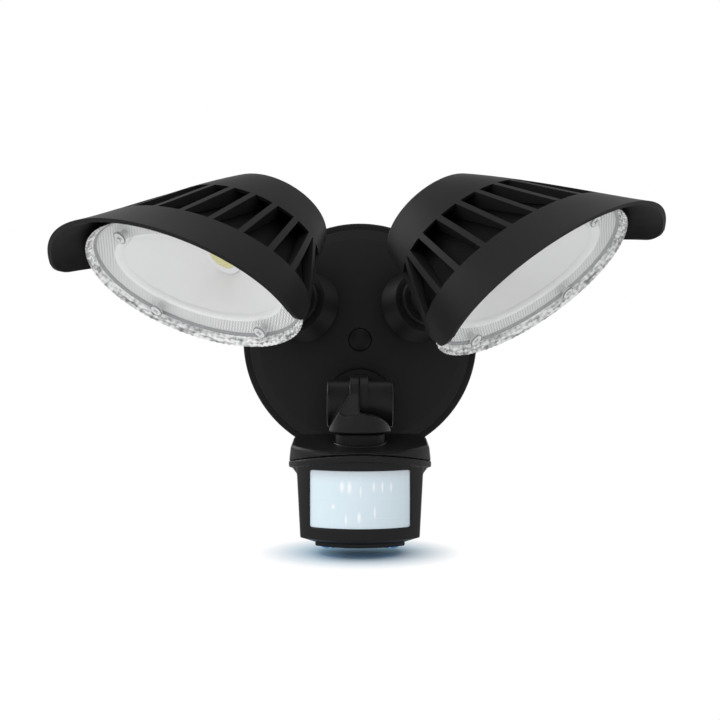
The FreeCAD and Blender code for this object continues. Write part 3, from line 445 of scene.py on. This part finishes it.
def thinRing(big, thin, x, y, z, steps):
    # ring of thin round wire about the Y axis, in mm
    sides = 6
    points, faces, uvs = [], [], []
    for i in range(steps):
        t = 2 * math.pi * i / steps
        for j in range(sides):
            k = 2 * math.pi * j / sides
            r = big + thin * math.cos(k)
            points.append(((x + r * math.cos(t)) / 1000, (y + thin * math.sin(k)) / 1000,
                           (z + r * math.sin(t)) / 1000))
            uvs.append((i, j))
            after = (i + 1) % steps * sides
            faces.append((i * sides + j, i * sides + (j + 1) % sides, after + (j + 1) % sides, after + j))
    return points, faces, uvs


# rings go from the front to the back: half width, half height, rise and depth of each, in mm
lensDetail = {"flutes": ((60.5, 34.9, 0.1, 0.7), (57.9, 32.7, 0.9, 3.9)), "fluteCount": 105,
              "fluteSteps": 6, "fluteDepth": 0.35,
              "foot": ((57.7, 32.5, 0.9, 3.9), (56.9, 31.9, 1.1, 5.0), (56.3, 31.4, 1.2, 5.2)),
              "footSteps": 180, "footTurns": 24,
              "dots": ((56.4, 31.5, 1.2, 5.1), (51.5, 27.5, 0.6, 5.5), (47.0, 23.8, 0.0, 5.75)),
              "dotSteps": 200, "dotPitch": (1.6, 3.4),
              "lip": ((47.1, 23.9, 0.0, 5.7), (46.0, 22.9, 0.0, 5.85), (44.9, 22.2, -0.1, 6.5),
                      (43.4, 21.9, -0.3, 8.0)),
              "lipSteps": 180,
              "collar": ((9.9, 9.9, -3.5, 24.5), (8.3, 8.3, -3.5, 24.75), (6.9, 6.9, -3.5, 24.9)),
              "collarSteps": 60,
              # rims of the screw bosses: radius, wire radius and depth, then the oval and angles they stand on
              "bossRing": (2.9, 0.28, 0.9), "bossSteps": 28, "bossOval": (51.5, 26.9),
              "bossAngles": (54, 126, -126, -54)}
dotFinish = dotted("coverDots", lensDetail["dotPitch"][0] / 1000)
fluteFinish = fluted("coverFlutes")
footFinish = smoked("coverFoot")
ringFinish = smoked("bossRims")
# the lip's finish is the bowl's, made paler as painted highlight along the rolled edge
lipHighlightFinish = silvered("bowlLip", rgb(234, 234, 234), rgb(242, 242, 242))


def coverFlutes(word, matrix):
    # real ridges all round the side wall
    d = lensDetail
    wave = lambda i: d["fluteDepth"] * abs(math.sin(math.pi * i / d["fluteSteps"]))
    shape = ovalBand(spread(*d["flutes"], 2), d["fluteCount"] * d["fluteSteps"], d["fluteCount"], wave)
    meshPiece(word + "CoverFlutes", shape, fluteFinish, word + "_lamp_head", matrix)


def coverFoot(word, matrix):
    d = lensDetail
    shape = ovalBand(d["foot"], d["footSteps"], d["footTurns"])
    meshPiece(word + "CoverFoot", shape, footFinish, word + "_lamp_head", matrix)


def dottedStrip(word, matrix):
    d = lensDetail
    across, tall = d["dotPitch"]
    points, faces, uvs = ovalBand(d["dots"], d["dotSteps"], 1)
    uvs = [(x * 1000 / across, z * 1000 / tall) for x, y, z in points]
    meshPiece(word + "DottedStrip", (points, faces, uvs), dotFinish, word + "_lamp_head", matrix)


def bowlLip(word, matrix):
    # the reflector's rolled edge, in a paler copy of the bowl's finish as painted highlight
    shape = ovalBand(lensDetail["lip"], lensDetail["lipSteps"], 1)
    meshPiece(word + "BowlLip", shape, lipHighlightFinish, word + "_lamp_head", matrix)


def bossRings(word, matrix):
    # rim of each screw boss, moulded into the cover
    d = lensDetail
    big, thin, y = d["bossRing"]
    wide, tall = d["bossOval"]
    for n, angle in enumerate(d["bossAngles"]):
        t = math.radians(angle)
        shape = thinRing(big, thin, wide * math.cos(t), y, tall * math.sin(t), d["bossSteps"])
        meshPiece(word + "BossRing" + str(n + 1), shape, ringFinish, word + "_lamp_head", matrix)


def ledCollar(word, matrix):
    # pale ring between the bowl's foot and the diode
    shape = ovalBand(lensDetail["collar"], lensDetail["collarSteps"], 1)
    meshPiece(word + "LedCollar", shape, finishes["reflector_silver"], word + "_lamp_head",
              matrix)


for word in ("left", "right"):
    matrix = headFrame(word)
    for make in (coverFlutes, coverFoot, dottedStrip, bowlLip, bossRings, ledCollar):
        make(word, matrix)
print("lens details made")


# mouldings of the sensor and what they ride on, and the height below which the neck's collar lies in its seat and is
# painted nearly black as shade
softDetail = {"pieces": {"sensor_cap": "sensor_head", "sensor_body": "sensor_head", "sensor_neck": "sensor_knuckle"},
              "cell": 0.0005, "ease": 0.5, "passes": 4, "keep": 0.3, "collarTop": -0.0440}


def softened(nodeName, body):
    # the same moulding with its edges rounded off a little, as moulded plastic has them
    d = softDetail
    piece = bpy.data.objects.new("soft" + nodeName.title().replace("_", ""), nodes[nodeName].data.copy())
    bpy.context.collection.objects.link(piece)
    even = piece.modifiers.new("even", "REMESH")
    even.mode, even.voxel_size = "VOXEL", d["cell"]
    ease = piece.modifiers.new("ease", "SMOOTH")
    ease.factor, ease.iterations = d["ease"], d["passes"]
    thin = piece.modifiers.new("thin", "DECIMATE")
    thin.ratio = d["keep"]
    final = bpy.data.meshes.new_from_object(piece.evaluated_get(bpy.context.evaluated_depsgraph_get()))
    piece.modifiers.clear()
    piece.data = final
    for face in final.polygons:
        face.use_smooth = True
    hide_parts(nodeName)
    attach(piece, body)
    print("softened", nodeName, len(final.polygons), "faces")
    return final


for nodeName, body in softDetail["pieces"].items():
    final = softened(nodeName, body)
    if nodeName == "sensor_neck":
        # the collar down in its seat gets painted shade
        final.materials[0] = paint("neckBlack", *sensorPlastic, softDetail["collarTop"])


# middle of the ring in metres, the cap's slope in degrees, then radius and wire radius in mm
seatDetail = {"middle": (0, -0.0645, -0.04837), "slope": 7.7, "ring": (12.0, 0.34), "steps": 64}


def seatRim():
    # raised rim of the round seat that the neck's collar turns in, on the cap's sloping top
    d = seatDetail
    lay = Matrix.Translation(d["middle"]) @ Matrix.Rotation(math.radians(d["slope"] - 90), 4, "X")
    finish = paint("seatRim", blacks["sensor"], 0.32, 0.04, 0.0003, 0.3)
    meshPiece("seatRim", thinRing(*d["ring"], 0, 0, 0, d["steps"]), finish, "sensor_head", lay)


seatRim()
print("seat rim made")


# metres; each lamp has its power in watts, its place and its size
stage = {"floorZ": -0.1005, "floorSize": 6.0, "floorDark": (0.90, 0.90, 0.90, 1), "floorPale": (0.93, 0.93, 0.93, 1),
         "cloudScale": 3, "shadowTone": rgb(168, 206, 230), "shadowSpot": (0.0, -0.058),
         "shadowReach": (0.018, 0.047), "white": 1.0, "fillLevel": 0.92, "aim": (0, -0.05, 0),
         "keyLight": (4.5, (-1.1, -0.9, 0.7), 1.0), "rimLight": (9.0, (-1.2, 0.6, 0.9), 1.0)}


def seenDirect(f):
    # 1 where the camera, a reflection or a clear piece looks at the background
    path = f.node("ShaderNodeLightPath").socket.node
    camera, glossy, through = (Wire(f, path.outputs["Is " + kind + " Ray"])
                               for kind in ("Camera", "Glossy", "Transmission"))
    return camera.most(glossy).most(through)


def makeFloor():
    # pale floor that keeps the shadow near the light and goes to white further off
    s = stage["floorSize"] / 2
    data = bpy.data.meshes.new("floor")
    data.from_pydata([(-s, -s, 0), (s, -s, 0), (s, s, 0), (-s, s, 0)], [], [(0, 1, 2, 3)])
    floor = bpy.data.objects.new("floor", data)
    floor.location = (0, 0, stage["floorZ"])
    bpy.context.collection.objects.link(floor)
    f = newFinish("paleFloor")
    x, y = f.axes(f.place())[:2]
    spotX, spotY = stage["shadowSpot"]
    near, far = stage["shadowReach"]
    direct = seenDirect(f)
    away = ((x - spotX) * (x - spotX) + (y - spotY) * (y - spotY)) ** 0.5
    plain = ((away - near) / (far - near)).clamped() * direct
    tone = f.mix(f.noise(stage["cloudScale"], 2), stage["floorDark"], stage["floorPale"])
    tone = f.mix(direct, tone, stage["shadowTone"])
    lit = f.node("ShaderNodeBsdfDiffuse", None, {"Color": tone})
    glow = f.node("ShaderNodeEmission", None, {"Color": (1, 1, 1, 1), "Strength": stage["white"]})
    top = f.node("ShaderNodeMixShader", None, {0: plain, 1: lit, 2: glow})
    under = f.node("ShaderNodeNewGeometry", out="Backfacing")    # nothing shows of the floor from below
    f.output(f.node("ShaderNodeMixShader", None, {0: under, 1: top, 2: f.node("ShaderNodeBsdfTransparent")}))
    data.materials.append(f.owner)


def softbox(name, power, spot, size):
    lamp = bpy.data.lights.new(name, "AREA")
    lamp.energy, lamp.size = power, size
    holder = bpy.data.objects.new(name, lamp)
    holder.location = spot
    holder.rotation_euler = (Vector(stage["aim"]) - Vector(spot)).to_track_quat("-Z", "Y").to_euler()
    bpy.context.collection.objects.link(holder)


def makeWorld():
    world = bpy.data.worlds.new("studio")
    bpy.context.scene.world = world
    f = Finish(world)
    level = stage["fillLevel"] + (stage["white"] - stage["fillLevel"]) * seenDirect(f)
    glow = f.node("ShaderNodeBackground", None, {"Color": (1, 1, 1, 1), "Strength": level})
    f.output(glow, "ShaderNodeOutputWorld")


makeFloor()
makeWorld()
for name in ("keyLight", "rimLight"):
    softbox(name, *stage[name])

# fitted to the photograph: place in metres, focal length and film width in mm
view = {"place": (0.0, -0.608, -0.0102), "lens": 58.4, "sensor": 36.0, "clip": (0.01, 20)}
eye = bpy.data.cameras.new("camera")
eye.lens, eye.sensor_width = view["lens"], view["sensor"]
eye.clip_start, eye.clip_end = view["clip"]
camera = bpy.data.objects.new("camera", eye)
camera.location, camera.rotation_euler = view["place"], (math.radians(90), 0, 0)
bpy.context.collection.objects.link(camera)
bpy.context.scene.camera = camera
bpy.context.scene.view_settings.view_transform = "Standard"
print("stage made")
